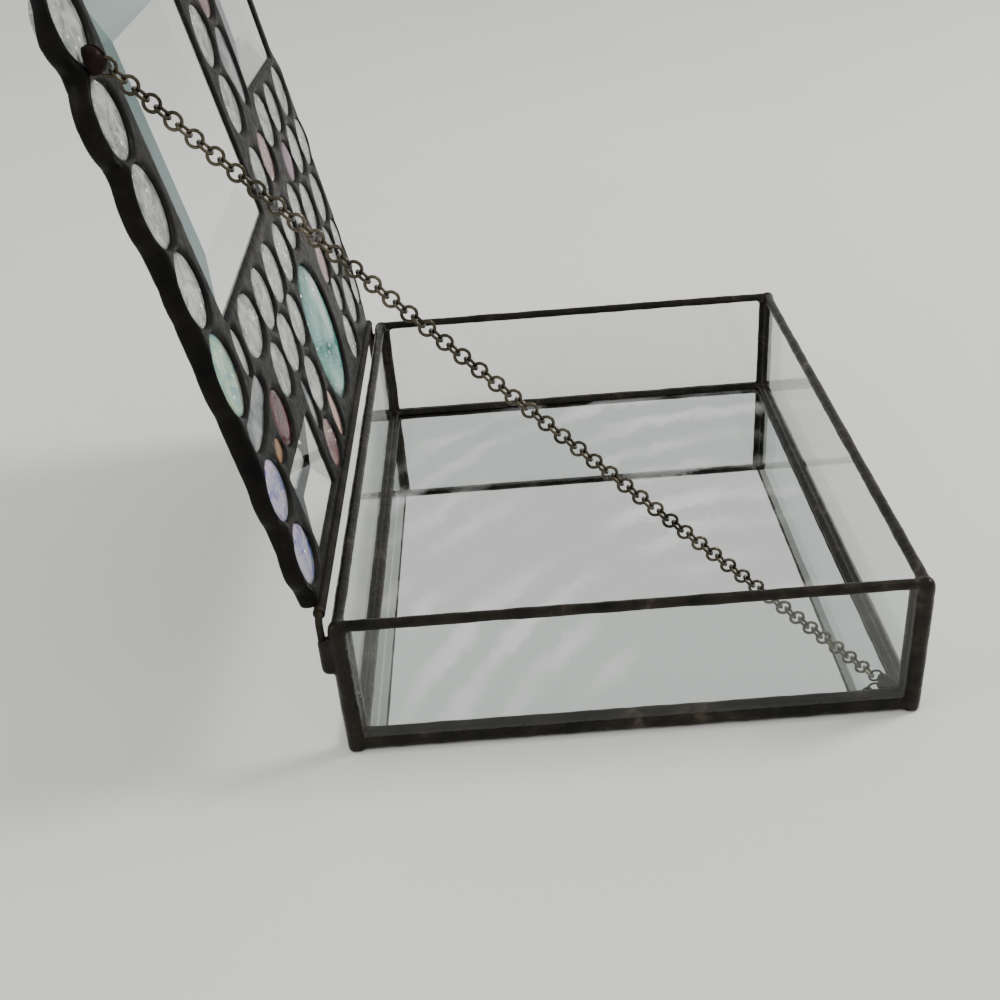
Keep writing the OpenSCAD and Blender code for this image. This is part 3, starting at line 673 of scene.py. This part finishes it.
def openings():
    holes = [oval_points(g, FOIL, 120) for group in ROUNDS.values() for g in group]
    holes += [rounded(grown(p, FOIL - LAP)) for p in FREE.values()]
    holes = [resampled(p, 0.8) for p in holes]
    holes += [resampled(grown(p, FOIL - LAP), 1.0) for p in PLATES.values()]
    return [uneven(p, i) for i, p in enumerate(holes)]


def near(hole, pts, reach):
    low, high = hole.min(0) - reach, hole.max(0) + reach
    return np.where(((pts > low) & (pts < high)).all(1))[0]


def seam_points(outline, holes):
    """Rows of points along every opening and along the lid's edge, thinned where rows meet."""
    from_glass = (0.3, 0.75, 1.3, 2.1, 3.2)
    rows = [(resampled(grown(h, d), 0.95 if d < 1 else 1.3), d) for h in holes for d in from_glass]
    rows += [(grown(outline, -d), d) for d in (0.3, 0.7, 1.15, 1.7, 2.6, 3.8)]
    kept = []
    for p, d in rows:
        p = p[inside(outline, p)]
        ok = np.ones(len(p), bool)
        for h in holes:
            i = near(h, p, d + 0.3)
            if len(i):
                ok[i] &= ~(inside(h, p[i]) | (distance(h, p[i]) < d * 0.86))
        p = p[ok]
        if len(p):
            kept.append(p[distance(outline, p) >= min(d, 1.0) * 0.8])
    cells = {}
    for q in np.vstack(kept):
        cells.setdefault((int(q[0] // 0.38), int(q[1] // 0.38)), q)
    return list(cells.values())


def triangulated(outline, holes):
    points, edges = [], []
    for loop in holes + [outline]:
        start, count = len(points), len(loop)
        points += loop.tolist()
        edges += [(start + k, start + (k + 1) % count) for k in range(count)]
    points += seam_points(outline, holes)
    out = delaunay_2d_cdt([Vector(p) for p in points], edges, [], 0, 1e-5)
    xy = np.array([tuple(v) for v in out[0]])
    tris = np.array([f for f in out[2] if len(f) == 3])
    mid = xy[tris].mean(1)
    keep = inside(outline, mid)
    for h in holes:
        i = near(h, mid, 0)
        if len(i):
            keep[i[inside(h, mid[i])]] = False
    used, flat = np.unique(tris[keep], return_inverse=True)
    return xy[used], flat.reshape(-1, 3)


def build_web():
    outline, holes = lid_outline(), openings()
    xy, tris = triangulated(outline, holes)
    to_glass = np.full(len(xy), 1e9)
    for h in holes:
        i = near(h, xy, 6)
        if len(i):
            to_glass[i] = np.minimum(to_glass[i], distance(h, xy[i]))
    lump = np.array([wobble(*(q * 0.13), 0, 4) + 0.5 * wobble(*(q * 0.4), 2, 9) for q in xy])
    bead = np.sin(math.pi / 2 * np.clip(to_glass / SEAM_HALF, 0, 1))
    to_edge = distance(outline, xy)
    rim = 0.3 + 0.7 * np.sqrt(np.maximum(0, 1 - (1 - np.clip(to_edge / EDGE_ROUND, 0, 1)) ** 2))
    inner = GLASS_Z + (WEB_LOW - GLASS_Z) * bead * (0.9 + 0.1 * lump)
    inner = np.clip(inner, WEB_LOW, GLASS_Z)
    outer = WEB_HIGH - SEAM_DIP * (1 - bead) - 0.6 * bead * np.clip(0.25 - 0.25 * lump, 0, 1)
    climb = np.clip(1 - to_edge / CLIMB_WIDTH, 0, 1)
    climb *= np.clip((LID_EDGE[0][0] + CLIMB_REACH - xy[:, 0]) / 4, 0, 1)
    outer += EDGE_RISE * np.sqrt(climb) * np.clip((CLIMB_END - xy[:, 1]) / 6, 0, 1)
    middle = (WEB_LOW + WEB_HIGH) / 2
    low = middle + (inner - middle) * rim
    high = middle + (outer - middle) * rim
    count = len(xy)
    verts = np.vstack([np.column_stack([xy, low]), np.column_stack([xy, high])])
    faces = [tuple(map(int, f)) for f in tris] + [tuple(int(k) + count for k in f[::-1]) for f in tris]
    sides = {(int(f[k]), int(f[(k + 1) % 3])) for f in tris for k in range(3)}
    faces += [(b, a, a + count, b + count) for a, b in sides if (b, a) not in sides]
    obj = new_object("solder_web", from_plan(verts), faces, SOLDER)
    return stands_for(obj, "lid", "patina_solder", "lid_solder_web")


# Floor, light and camera
def floor():
    m, t, b = material("floor")
    shade = ramp(t, noise_tex(t, coords(t), 3, 3), [(0.3, (0.79, 0.785, 0.76)), (0.7, (0.82, 0.815, 0.79))])
    t.links.new(shade, b.inputs["Base Color"])
    b.inputs["Roughness"].default_value = 0.9
    reach, level = 6, -0.0002
    corners = [(-reach, -reach, level), (reach, -reach, level), (reach, reach, level), (-reach, reach, level)]
    new_object("floor", corners, [(0, 1, 2, 3)], m, False)


def sky(colour, strength):
    world = bpy.data.worlds.new("studio")
    bpy.context.scene.world = world
    world.use_nodes = True
    background = world.node_tree.nodes["Background"]
    background.inputs[0].default_value = (*colour, 1)
    background.inputs[1].default_value = strength


def area(name, place, target, size, power, colour):
    light = bpy.data.lights.new(name, "AREA")
    light.shape = "DISK"
    light.size = size
    light.energy = power
    light.color = colour
    o = bpy.data.objects.new(name, light)
    o.location = place
    o.rotation_euler = (Vector(target) - Vector(place)).to_track_quat("-Z", "Y").to_euler()
    bpy.context.scene.collection.objects.link(o)


def view_of_photo():
    """The camera that was fitted to the box's corners in the photograph."""
    camera = bpy.data.objects.new("camera", bpy.data.cameras.new("camera"))
    bpy.context.scene.collection.objects.link(camera)
    forward = Vector((0.83469, 0.00954, -0.55063))
    right = Vector((-0.03313, -0.99717, -0.06751))
    up = Vector((0.54972, -0.07459, 0.83202))
    place = Matrix((right, up, -forward)).transposed().to_4x4()
    place.translation = (-0.36565, 0.02605, 0.22579)
    camera.matrix_world = place
    camera.data.lens = 45.12
    camera.data.sensor_width = 36
    camera.data.shift_x = -0.01504
    camera.data.shift_y = 0.0787
    camera.data.clip_start = 0.01
    bpy.context.scene.camera = camera


dress_cad_nodes()
build_solder()
build_glass()
build_web()
floor()
sky((0.95, 0.95, 0.93), 0.86)
area("key", (0.25, -1.1, 1.2), (0, 0, 0.05), 0.45, 16, (1, 0.98, 0.95))
area("fill", (-0.5, 1.3, 1.3), (0, 0, 0.05), 1.0, 6, (0.96, 0.98, 1))
view_of_photo()
